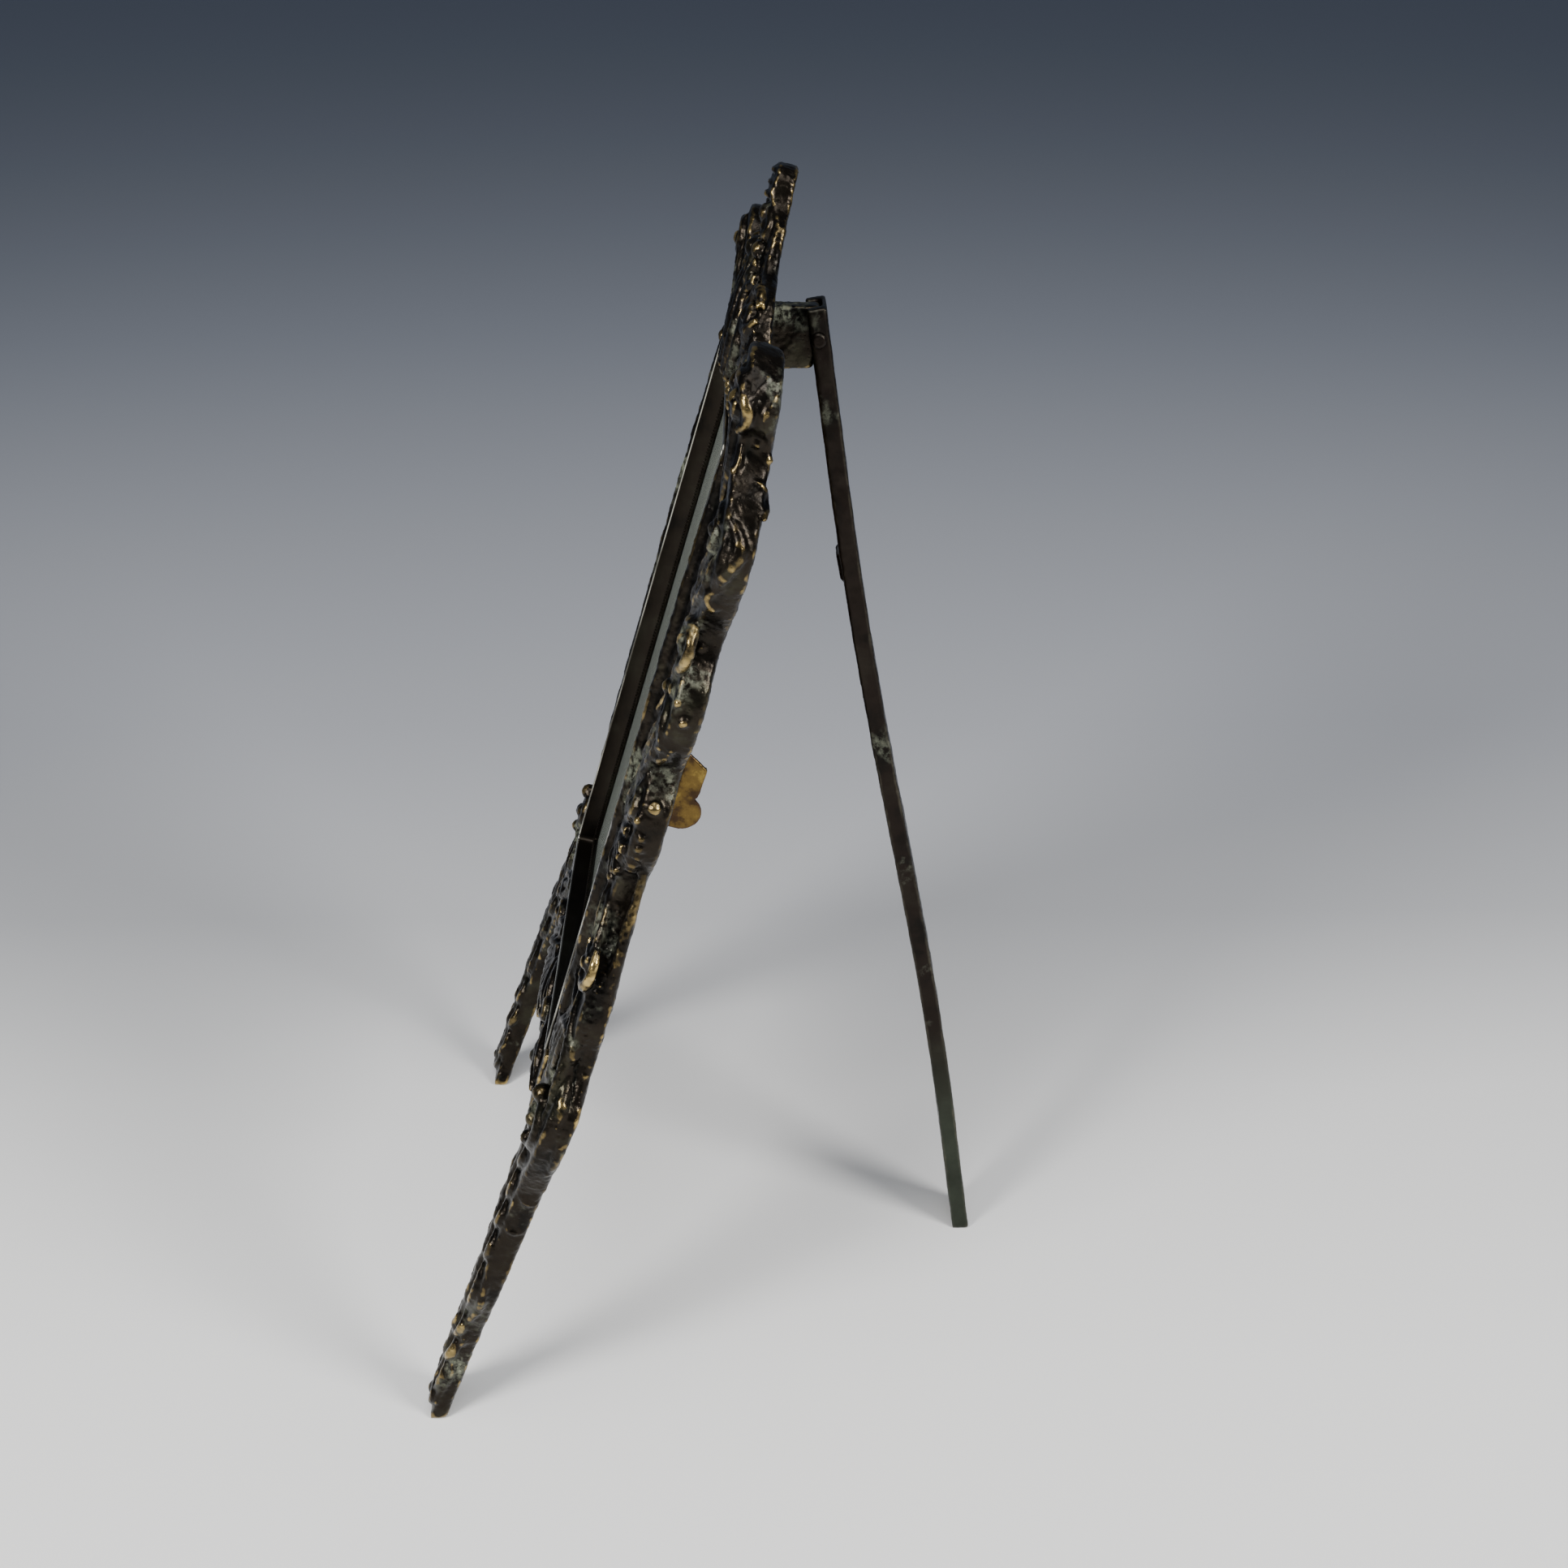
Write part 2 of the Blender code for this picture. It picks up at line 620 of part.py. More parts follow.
def make_rivet(name, side):
    place = (side * CLIP_ACROSS, RIM_DEPTH, CLIP_UP)
    seat = SEAT_GAP + CLIP_SHEET + RIVET_PLAY
    top = seat + RIVET_HEAD_THICKNESS
    bottom = -RIVET_DEPTH + 2 * SEAT_GAP
    profile = [
        (0, top),
        (RIVET_HEAD_RADIUS * 0.6, top),
        (RIVET_HEAD_RADIUS, seat + RIVET_HEAD_THICKNESS * 0.4),
        (RIVET_HEAD_RADIUS, seat),
        (RIVET_RADIUS, seat),
        (RIVET_RADIUS, bottom),
        (0, bottom),
    ]
    rivet = turned(profile, "Y")
    rivet.data.transform(Matrix.Translation(place))
    settle(rivet, name, CLIP_BRASS, FRAME)


clear_scene()
PARTS = make_collection("photograph_frame")
CUTTERS = make_collection("cutters")
CAST_BRASS = make_material("cast_brass", (0.16, 0.12, 0.06), 0.42, 1.0)
DARK_BRASS = make_material("dark_brass", (0.07, 0.06, 0.045), 0.45, 1.0)
STRUT_BRASS = make_material("strut_brass", (0.09, 0.065, 0.04), 0.50, 1.0)
CLIP_BRASS = make_material("clip_brass", (0.48, 0.33, 0.12), 0.35, 1.0)
GLASS = make_material("glass", (0.80, 0.86, 0.82), 0.05, 0.0, 0.35)
CARD = make_material("card", (0.42, 0.40, 0.36), 0.85)
BOARD = make_material("board", (0.20, 0.12, 0.06), 0.70)

FRAME = make_empty("frame_lean", (0, -FOOTPRINT_MIDDLE, 0), -LEAN)
PIVOT = make_empty("strut_pivot", (0, PIVOT_Y - FOOTPRINT_MIDDLE, PIVOT_Z), STRUT_ANGLE)
FLOOR_CUTTER = as_cutter(block((0.4, 0.4, 0.04), (0, 0, -0.02)))
FLOOR_CUTTER.name = "floor_cutter"

make_rim()
make_insert("glass_pane", GLASS_FRONT, GLASS_THICKNESS, GLASS)
make_insert("photo_card", CARD_FRONT, CARD_THICKNESS, CARD)
make_insert("back_board", BOARD_FRONT, BOARD_THICKNESS, BOARD)
make_side("right_side_casting", 1)
make_side("left_side_casting", -1)
make_crest()
make_apron()
make_strut()
make_pin()
for side_name, side_sign in (("right", 1), ("left", -1)):
    make_clip(side_name + "_turn_clip", side_sign)
    make_rivet(side_name + "_clip_rivet", side_sign)
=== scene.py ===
import bpy
import json
import math
import random
import numpy as np
from mathutils import Matrix, Vector, noise


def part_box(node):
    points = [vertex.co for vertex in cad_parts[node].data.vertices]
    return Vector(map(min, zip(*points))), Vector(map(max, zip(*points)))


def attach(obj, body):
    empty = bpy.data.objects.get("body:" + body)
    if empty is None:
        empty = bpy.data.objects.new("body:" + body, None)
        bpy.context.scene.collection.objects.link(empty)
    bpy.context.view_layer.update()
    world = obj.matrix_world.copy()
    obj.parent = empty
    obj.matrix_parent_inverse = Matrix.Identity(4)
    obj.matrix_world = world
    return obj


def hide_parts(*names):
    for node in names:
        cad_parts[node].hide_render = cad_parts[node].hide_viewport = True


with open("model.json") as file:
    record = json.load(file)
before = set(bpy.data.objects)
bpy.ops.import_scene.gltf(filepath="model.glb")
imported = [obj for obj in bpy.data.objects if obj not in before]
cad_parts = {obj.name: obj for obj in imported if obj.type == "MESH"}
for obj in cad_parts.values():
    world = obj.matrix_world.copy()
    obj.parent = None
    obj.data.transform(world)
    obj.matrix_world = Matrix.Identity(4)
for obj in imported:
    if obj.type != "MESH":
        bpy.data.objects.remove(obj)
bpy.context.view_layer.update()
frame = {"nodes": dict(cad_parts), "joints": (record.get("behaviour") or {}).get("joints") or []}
mm = 0.001  # the pieces are drawn in millimetres

# The leaning frame: x across, y out of the back, z up its own plane, y = 0 at the rim's front edge.
joints = {joint["name"]: joint for joint in frame["joints"]}
backNormal = Vector(joints["right_clip_turn"]["axis"])
lean = math.atan2(-backNormal.z, backNormal.y)
rimLow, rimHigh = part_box("rim_box")

rimBox = {"depth": 11.0, "wall": 1.3, "lipWidth": 2.2}
rimWidth = (rimHigh.x - rimLow.x) / mm
rimBottom = (rimLow.z / mm + rimBox["depth"] * math.sin(lean)) / math.cos(lean)
rimHeight = (rimHigh.z - rimLow.z) / mm / math.cos(lean) - rimBox["depth"] * math.tan(lean)
rimTop = rimBottom + rimHeight
rimSide = rimWidth / 2
frontY = rimLow.y - rimBottom * mm * math.sin(lean)
leaning = Matrix.Translation((0, frontY, 0)) @ Matrix.Rotation(-lean, 4, "X") @ Matrix.Scale(mm, 4)


# Small tools for picking and finishing.


def pickOnly(*objects):
    bpy.ops.object.select_all(action="DESELECT")
    for obj in objects:
        obj.select_set(True)
    bpy.context.view_layer.objects.active = objects[0]


def applyAll(obj):
    pickOnly(obj)
    for modifier in list(obj.modifiers):
        bpy.ops.object.modifier_apply(modifier=modifier.name)


def joinAs(name, objects):
    pickOnly(*objects)
    bpy.ops.object.join()
    whole = bpy.context.object
    whole.name = name
    whole.data.name = name
    return whole


def editAll(obj, work):  # runs edit-mode operators on the whole of a piece
    pickOnly(obj)
    bpy.ops.object.mode_set(mode="EDIT")
    bpy.ops.mesh.select_all(action="SELECT")
    work()
    bpy.ops.object.mode_set(mode="OBJECT")


def smoothShade(obj, angle=None):
    pickOnly(obj)
    if angle is None:
        bpy.ops.object.shade_smooth()
    else:
        bpy.ops.object.shade_smooth_by_angle(angle=math.radians(angle))


def roundEdges(obj, width, steps):
    bevel = obj.modifiers.new("Edges", "BEVEL")
    bevel.width = width
    bevel.segments = steps
    bevel.limit_method = "ANGLE"
    bevel.angle_limit = math.radians(40)
    applyAll(obj)


def skinOver(obj, voxel, rounds):  # one closed skin over everything, relaxed a few rounds
    remesh = obj.modifiers.new("Skin", "REMESH")
    remesh.mode = "VOXEL"
    remesh.voxel_size = voxel
    relax = obj.modifiers.new("Relax", "SMOOTH")
    relax.factor = 0.5
    relax.iterations = rounds
    applyAll(obj)


def castCopy(node):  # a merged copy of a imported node, laid in the leaning frame
    core = frame["nodes"][node].copy()
    core.data = core.data.copy()
    for key in list(core.keys()):
        del core[key]
    core.parent = None
    bpy.context.scene.collection.objects.link(core)
    core.hide_render = core.hide_viewport = False
    core.hide_set(False)
    core.data.transform(leaning.inverted())
    editAll(core, lambda: bpy.ops.mesh.remove_doubles(threshold=0.01))
    return core


def softCore(node, look):  # the body under a casting's ornament, with every edge worn round
    core = castCopy(node)
    skinOver(core, look["coreVoxel"], look["coreRounds"])
    bpy.context.view_layer.update()
    return core


probe = {"ahead": -60, "outside": 140, "beside": 95}  # where the rays towards a core start, clear of it


def frontAt(core, x, z):  # how deep a core's front face lies under a point
    hit, place, _, _ = core.ray_cast(Vector((x, probe["ahead"], z)), Vector((0, 1, 0)))
    return place.y if hit else core.closest_point_on_mesh(Vector((x, 0, z)))[1].y


def flankAt(core, y, z):  # how far out a core's outer edge lies beside a point
    hit, place, _, _ = core.ray_cast(Vector((probe["outside"], y, z)), Vector((-1, 0, 0)))
    return place.x if hit else core.closest_point_on_mesh(Vector((probe["beside"], y, z)))[1].x


# Ornament tools. Each gives one closed lump, and a casting melts all its lumps into one skin.


def addStem(route, thick):  # a tapering round bar through the points of its route
    bpy.ops.curve.primitive_bezier_curve_add()
    bar = bpy.context.object
    spline = bar.data.splines[0]
    spline.bezier_points.add(len(route) - 2)
    spline.radius_interpolation = "CARDINAL"
    for knot, point, radius in zip(spline.bezier_points, route, thick):
        knot.co = point
        knot.handle_left_type = knot.handle_right_type = "AUTO"
        knot.radius = radius
    bar.data.bevel_depth = 1
    bar.data.bevel_resolution = 3
    bar.data.resolution_u = 6
    bar.data.use_fill_caps = True
    bpy.ops.object.convert(target="MESH")
    return bpy.context.object


def addBead(place, radius, squash=1.0):
    bpy.ops.mesh.primitive_ico_sphere_add(subdivisions=3, radius=radius, location=place)
    bead = bpy.context.object
    bead.scale.y = squash
    bpy.ops.object.transform_apply(location=True, rotation=True, scale=True)
    return bead


scrollMake = {"steps": 12, "windIn": 0.70, "sink": 0.15}


def addScroll(core, centre, radius, start, sweep, thick, rise=0.8, eye=1.5):  # a curl wound in to a bead
    route, girth = [], []
    for i in range(scrollMake["steps"]):
        share = i / (scrollMake["steps"] - 1)
        reach = radius * (1 - scrollMake["windIn"] * share)
        angle = math.radians(start + sweep * share)
        x = centre[0] + reach * math.cos(angle)
        z = centre[1] + reach * math.sin(angle)
        route.append((x, frontAt(core, x, z) - rise * share - thick * scrollMake["sink"], z))
        swelling = math.sin(math.pi * min(share * 0.8 + 0.12, 1))  # thin where it starts, fullest half way
        girth.append(thick * (0.5 + 0.6 * swelling))
    top = frontAt(core, *centre) - rise
    return [addStem(route, girth), addBead((centre[0], top, centre[1]), thick * eye)]


def addLeaf(core, base, tip, width, lift, ribs=3, thick=1.4):  # ribs that part and meet at a curled tip
    base, tip = Vector(base), Vector(tip)
    along = tip - base
    across = Vector((along.y, -along.x)).normalized()
    lobes = []
    for rib in range(ribs):
        spread = 0 if ribs == 1 else 2 * rib / (ribs - 1) - 1
        bulge = across * width * 0.5 * spread
        rise = lift * (1 - 0.45 * abs(spread))
        plan = [
            (base + bulge * 0.3, 0.0),
            (base + along * 0.33 + bulge, rise * 0.4),
            (base + along * (0.72 - 0.12 * abs(spread)) + bulge * 0.95, rise),
            (tip + bulge * 0.35 - along * 0.12 * abs(spread), rise * 0.7),
        ]
        route = [(p.x, frontAt(core, p.x, p.y) - up, p.y) for p, up in plan]
        lobes.append(addStem(route, [thick * 0.6, thick, thick * 0.95, thick * 0.45]))
    return lobes


def addFan(core, hub, inner, outer, angles, thick, dip=1.0):  # the ribs of a shell
    ribs = []
    for number, angle in enumerate(angles):
        turn = math.radians(angle)
        reach = outer * (1 - 0.10 * (number % 2))
        route = []
        for share, up in ((0, 0.2), (0.5, 1.0), (1, 0.3)):
            x = hub[0] + math.cos(turn) * (inner + (reach - inner) * share)
            z = hub[1] + math.sin(turn) * (inner + (reach - inner) * share)
            route.append((x, frontAt(core, x, z) - dip * up, z))
        ribs.append(addStem(route, [thick * 0.45, thick * 0.9, thick * 1.1]))
    return ribs


def addFlower(core, hub, reach, petals, thick):
    parts = [addBead((hub[0], frontAt(core, *hub) - thick * 0.6, hub[1]), thick * 1.3)]
    for number in range(petals):
        turn = 2 * math.pi * number / petals + 0.3
        x, z = hub[0] + reach * math.cos(turn), hub[1] + reach * math.sin(turn)
        parts.append(addBead((x, frontAt(core, x, z), z), thick * 1.25, 0.8))
    return parts


def addFrontStem(core, route, thick, lift=0.2):  # a bar laid on the front face
    return addStem([(x, frontAt(core, x, z) - lift, z) for x, z in route], thick)


cornerInset = 2.5  # how far in from the outer edge the front face is felt for


def addFlankStem(core, route, thick, sink=0.25):  # a bar laid on the outer edge
    laid = []
    for (z, y), radius in zip(route, thick):
        front = frontAt(core, flankAt(core, y, z) - cornerInset, z)
        y = max(y, front + 0.3)  # no farther forward than the core
        laid.append((flankAt(core, y, z) - radius * sink, y, z))
    return addStem(laid, thick)


skinWaves = {"slow": 0.16, "quick": 0.45, "pits": 1.3, "calmFade": 2}  # turns per millimetre, and millimetres


def roughCast(obj, swell, grain, seed, calmFrom=None):  # uneven skin: slow waves, then fine pits
    shift = Vector((seed * 13.1, seed * 7.7, seed * 3.3))
    outward = [vertex.normal.copy() for vertex in obj.data.vertices]
    for vertex, normal in zip(obj.data.vertices, outward):
        point = vertex.co.copy()
        wave = noise.noise(point * skinWaves["slow"] + shift) * swell
        wave += noise.noise(point * skinWaves["quick"] + shift) * swell * 0.5
        pit = noise.noise(point * skinWaves["pits"] + shift) * grain
        calm = 1 if calmFrom is None else min(max((calmFrom - point.y) / skinWaves["calmFade"], 0), 1)
        vertex.co = point + normal * (wave + pit) * calm


reliefMake = {"slowRounds": 10, "slowShare": 0.6, "evenRounds": 2, "evenShare": 0.5, "proudest": 98}


def markRaised(obj):  # writes how far each point stands proud of its neighbours, for the worn edges and painted highlights (painted shade on the clips)
    mesh = obj.data
    count = len(mesh.vertices)
    places = np.empty(count * 3)
    mesh.vertices.foreach_get("co", places)
    places = places.reshape(-1, 3)
    normals = np.array([v.normal for v in mesh.vertices])
    ends = np.empty(len(mesh.edges) * 2, dtype=np.int64)
    mesh.edges.foreach_get("vertices", ends)
    ends = ends.reshape(-1, 2)
    near = np.bincount(ends.ravel(), minlength=count).clip(1)

    def spreadOut(values, share):  # blends each point's value with its neighbours'
        total = np.zeros_like(values)
        np.add.at(total, ends[:, 0], values[ends[:, 1]])
        np.add.at(total, ends[:, 1], values[ends[:, 0]])
        around = total / near.reshape(-1, *([1] * (values.ndim - 1)))
        return around * share + values * (1 - share)

    slow = places
    for _ in range(reliefMake["slowRounds"]):
        slow = spreadOut(slow, reliefMake["slowShare"])
    proud = ((places - slow) * normals).sum(axis=1)
    for _ in range(reliefMake["evenRounds"]):
        proud = spreadOut(proud, reliefMake["evenShare"])
    proud /= np.percentile(np.abs(proud), reliefMake["proudest"])  # 1 is the proudest relief
    attribute = mesh.attributes.new("raised", "FLOAT", "POINT")
    attribute.data.foreach_set("value", proud.astype(np.float32))


def meltTogether(name, parts, look):  # joins lumps into one cast skin and stands it in its place
    cast = joinAs(name, parts)
    skinOver(cast, look["voxel"], look["relax"])
    roughCast(cast, look["swell"], look["grain"], look["seed"], look.get("calmFrom"))
    markRaised(cast)
    cast.data.transform(leaning)
    smoothShade(cast)
    print("cast", name, len(cast.data.polygons), "faces")
    return cast


def cutAtFloor(obj):
    cut = {"plane_co": (0, 0, 0), "plane_no": (0, 0, -1), "use_fill": True, "clear_outer": True}
    editAll(obj, lambda: bpy.ops.mesh.bisect(**cut))


def mirrorAcross(obj):  # turns a right-hand casting into a left-hand one
    obj.data.transform(Matrix.Scale(-1, 4, (1, 0, 0)))
    editAll(obj, lambda: bpy.ops.mesh.normals_make_consistent(inside=False))


# Materials. Small tools for nodes come first; a source is another node's socket or a plain value.


def addNode(tree, kind, links=(), **values):
    node = tree.nodes.new(kind)
    for name, value in values.items():
        setattr(node, name, value)
    for socket, source in links:
        if hasattr(source, "links"):
            tree.links.new(source, node.inputs[socket])
        else:
            node.inputs[socket].default_value = source
    return node


def objectPlace(tree):
    return addNode(tree, "ShaderNodeTexCoord").outputs["Object"]


def addNoise(tree, place, scale, detail, roughness=0.5):
    links = [("Vector", place), ("Scale", scale), ("Detail", detail), ("Roughness", roughness)]
    return addNode(tree, "ShaderNodeTexNoise", links).outputs["Fac"]


def addMath(tree, operation, first, second, clamp=False):
    links = [(0, first), (1, second)]
    return addNode(tree, "ShaderNodeMath", links, operation=operation, use_clamp=clamp).outputs[0]


def addRange(tree, value, start, end, low=0.0, high=1.0):
    links = [("Value", value), ("From Min", start), ("From Max", end), ("To Min", low), ("To Max", high)]
    return addNode(tree, "ShaderNodeMapRange", links).outputs[0]


def addBump(tree, shader, height, strength, distance):
    links = [("Height", height), ("Strength", strength), ("Distance", distance)]
    bump = addNode(tree, "ShaderNodeBump", links)
    tree.links.new(bump.outputs["Normal"], shader.inputs["Normal"])


def ramp(tree, source, stops, smooth=True):
    node = addNode(tree, "ShaderNodeValToRGB", [("Fac", source)])
    node.color_ramp.interpolation = "EASE" if smooth else "LINEAR"
    elements = node.color_ramp.elements
    while len(elements) < len(stops):
        elements.new(0.5)
    for element, (place, grey) in zip(elements, stops):
        element.position = place
        element.color = (*grey, 1) if isinstance(grey, tuple) else (grey, grey, grey, 1)
    return node.outputs["Color"]


def mixColour(tree, share, first, second):
    first, second = [(*c, 1) if isinstance(c, tuple) else c for c in (first, second)]
    return addNode(tree, "ShaderNodeMix", [(0, share), (6, first), (7, second)], data_type="RGBA").outputs[2]


def mixValue(tree, share, first, second):
    return addNode(tree, "ShaderNodeMix", [(0, share), (2, first), (3, second)], data_type="FLOAT").outputs[0]


def newMaterial(name):
    material = bpy.data.materials.new(name)
    material.use_nodes = True
    tree = material.node_tree
    return material, tree, tree.nodes["Principled BSDF"]


def addGroup(name, inputs, outputs):
    group = bpy.data.node_groups.new(name, "ShaderNodeTree")
    for label, value in inputs:
        socket = group.interface.new_socket(label, in_out="INPUT", socket_type="NodeSocketFloat")
        socket.default_value = value
    for label, kind in outputs:
        group.interface.new_socket(label, in_out="OUTPUT", socket_type=kind)
    return group, group.nodes.new("NodeGroupInput").outputs, group.nodes.new("NodeGroupOutput").inputs


def placeGroup(tree, group, look, settings):  # settings pairs each socket with its key in the look
    node = addNode(tree, "ShaderNodeGroup", node_tree=group)
    for socket, key in settings.items():
        node.inputs[socket].default_value = look[key]
    return node


def buildWearAndLightGroup():  # edge colour on the proud relief: 1 where it is worn bright and painted with a highlight (painted shade on the clips), and how deep the hollows are
    group, given, made = addGroup(
        "reliefWearAndPaintedLight",
        [("Start", 0.5), ("Span", 0.4), ("Patch Scale", 60), ("Patch Floor", 0.08)],
        [("Wear And Painted Light", "NodeSocketFloat"), ("Hollow", "NodeSocketFloat")],
    )
    raised = addNode(group, "ShaderNodeAttribute", attribute_name="raised").outputs["Fac"]
    over = addMath(group, "SUBTRACT", raised, given["Start"])
    wornAndLit = addMath(group, "DIVIDE", over, given["Span"], clamp=True)
    patch = addNoise(group, objectPlace(group), given["Patch Scale"], 3.0)
    patches = ramp(group, patch, [(0.38, 0.0), (0.62, 1.0)])
    share = addRange(group, patches, 0.0, 1.0, given["Patch Floor"], 1.0)
    group.links.new(addMath(group, "MULTIPLY", wornAndLit, share), made["Wear And Painted Light"])
    group.links.new(addRange(group, raised, -0.15, -0.9), made["Hollow"])
    return group


saltColours = [(0.35, (0.050, 0.060, 0.042)), (0.55, (0.115, 0.125, 0.088)), (0.75, (0.23, 0.235, 0.165))]


def buildVerdigrisGroup():  # patches of pale green-grey salts
    group, given, made = addGroup(
        "verdigris",
        [("Scale", 45), ("Cover", 0.5), ("Speckle", 500)],
        [("Mask", "NodeSocketFloat"), ("Colour", "NodeSocketColor")],
    )
    place = objectPlace(group)
    broad = addNoise(group, place, given["Scale"], 4.0, 0.6)
    fine = addNoise(group, place, given["Speckle"], 5.0, 0.7)
    over = addMath(group, "SUBTRACT", broad, given["Cover"])
    patches = addMath(group, "MULTIPLY", over, 7.0, clamp=True)  # how hard the patches' edges are
    grains = ramp(group, fine, [(0.40, 0.0), (0.60, 1.0)])
    group.links.new(addMath(group, "MULTIPLY", patches, grains), made["Mask"])
    group.links.new(ramp(group, fine, saltColours), made["Colour"])
    return group


def buildGrainGroup():  # the skin of a sand casting
    group, given, made = addGroup(
        "castGrain",
        [("Scale", 900), ("Pits", 1.0), ("Mottle Scale", 70)],
        [("Height", "NodeSocketFloat"), ("Mottle", "NodeSocketFloat")],
    )
    place = objectPlace(group)
    grain = addNoise(group, place, given["Scale"], 6.0, 0.65)
    pits = addNode(group, "ShaderNodeTexVoronoi", [("Vector", place), ("Scale", given["Scale"])])
    dents = ramp(group, pits.outputs["Distance"], [(0.05, 0.0), (0.30, 1.0)])
    depth = addMath(group, "MULTIPLY", dents, given["Pits"])
    group.links.new(addMath(group, "ADD", grain, depth), made["Height"])
    group.links.new(addNoise(group, place, given["Mottle Scale"], 5.0, 0.6), made["Mottle"])
    return group


wearAndLightGroup = buildWearAndLightGroup()
verdigrisGroup = buildVerdigrisGroup()
grainGroup = buildGrainGroup()


def agedBrass(name, look):  # dark patina, worn bright with a painted highlight on the proud relief (a painted highlight alone on the rim's front edge, painted shade on the clips' edges), with salts in patches
    material, tree, shader = newMaterial(name)
    wearAndLightInputs = {"Start": "wearAndLightStart", "Span": "wearAndLightSpan", "Patch Floor": "patchFloor"}
    grainInputs = {"Scale": "grainScale", "Pits": "pits", "Mottle Scale": "mottleScale"}
    edgeWearAndLight = placeGroup(tree, wearAndLightGroup, look, wearAndLightInputs)
    salts = placeGroup(tree, verdigrisGroup, look, {"Cover": "saltCover", "Scale": "saltScale"})
    grain = placeGroup(tree, grainGroup, look, grainInputs)
    stops = [(0.35, look["dark"]), (0.52, look["brown"]), (0.68, look["olive"])]
    mottle = ramp(tree, grain.outputs["Mottle"], stops)
    skin = mixColour(tree, edgeWearAndLight.outputs["Hollow"], mottle, look["hollow"])
    salted = mixColour(tree, salts.outputs["Mask"], skin, salts.outputs["Colour"])
    if "footSalts" in look:  # green-black towards the foot
        foot = look["footSalts"]
        height = addNode(tree, "ShaderNodeSeparateXYZ", [(0, objectPlace(tree))]).outputs["Z"]
        low = addRange(tree, height, foot["from"], foot["to"])
        patchy = addMath(tree, "MULTIPLY", low, grain.outputs["Mottle"])
        salted = mixColour(tree, patchy, salted, foot["colour"])
    wornAndLit = mixColour(tree, edgeWearAndLight.outputs["Wear And Painted Light"], salted, look["bright"])
    tree.links.new(wornAndLit, shader.inputs["Base Color"])
    rough = mixValue(tree, salts.outputs["Mask"], look["roughSkin"], look["roughSalts"])
    rough = mixValue(tree, edgeWearAndLight.outputs["Wear And Painted Light"], rough, look["roughBright"])
    tree.links.new(rough, shader.inputs["Roughness"])
    metal = mixValue(tree, salts.outputs["Mask"], look["metalSkin"], look["metalSalts"])
    tree.links.new(metal, shader.inputs["Metallic"])
    addBump(tree, shader, grain.outputs["Height"], look["bump"], look["bumpDepth"])
    shader.inputs["Specular IOR Level"].default_value = 0.5
    return material


castLook = {
    "dark": (0.007, 0.006, 0.005),
    "brown": (0.016, 0.0125, 0.009),
    "olive": (0.028, 0.026, 0.017),
    "hollow": (0.006, 0.006, 0.005),
    "bright": (0.47, 0.34, 0.13),
    "wearAndLightStart": 0.62,  # how proud the relief stands where the wear and painted highlight begin
    "wearAndLightSpan": 0.55,
    "patchFloor": 0.18,  # the wear and painted highlight left between its patches
    "saltCover": 0.55,
    "saltScale": 55,
    "grainScale": 900,
    "mottleScale": 70,
    "pits": 0.6,
    "bump": 0.30,
    "bumpDepth": 0.0002,
    "roughSkin": 0.29,
    "roughSalts": 0.85,
    "roughBright": 0.17,
    "metalSkin": 0.92,
    "metalSalts": 0.15,
}
# The crest is given more of the worn brass and painted highlight.
crestLook = dict(castLook, wearAndLightStart=0.55, patchFloor=0.35)
# The rim's pale edge colour is a painted highlight along its front edge.
rimLook = dict(
    castLook, brown=(0.014, 0.011, 0.008), olive=(0.020, 0.018, 0.013), bright=(0.36, 0.35, 0.30),
    wearAndLightStart=0.30, wearAndLightSpan=0.50, saltCover=0.70, pits=0.1, bump=0.08, roughSkin=0.30,
)
strutLook = dict(
    castLook, brown=(0.013, 0.0095, 0.0075), olive=(0.018, 0.0145, 0.011), bright=(0.12, 0.11, 0.08),
    wearAndLightStart=0.75, wearAndLightSpan=0.80, saltCover=0.60, pits=0.2, bump=0.16, roughSkin=0.38,
    footSalts={"colour": (0.045, 0.058, 0.042), "from": 0.075, "to": 0.035},
)
clipLook = dict(
    castLook, dark=(0.035, 0.020, 0.010), brown=(0.105, 0.066, 0.018), olive=(0.21, 0.145, 0.036),
    hollow=(0.05, 0.025, 0.012), bright=(0.045, 0.020, 0.020),  # painted shade: the sheet's proud edges are painted dark purple-brown
    wearAndLightStart=0.25, wearAndLightSpan=0.9, saltCover=0.68, pits=0.1, bump=0.12, roughBright=0.40, mottleScale=230,
)
castMetal = agedBrass("castBrassWearAndPaintedLight", castLook)
rimMetal = agedBrass("smoothDarkBrass", rimLook)
crestMetal = agedBrass("crestBrass", crestLook)
strutMetal = agedBrass("strutBrass", strutLook)
clipMetal = agedBrass("sheetBrass", clipLook)
print("materials ready")


def dress(obj, material, body, slot, *nodes):
    obj.data.materials.clear()
    obj.data.materials.append(material)
    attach(obj, body)
    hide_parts(*nodes)
    return obj


# The side castings. Front work is given as (across, up), edge work as (up, out of the back), right-hand side.

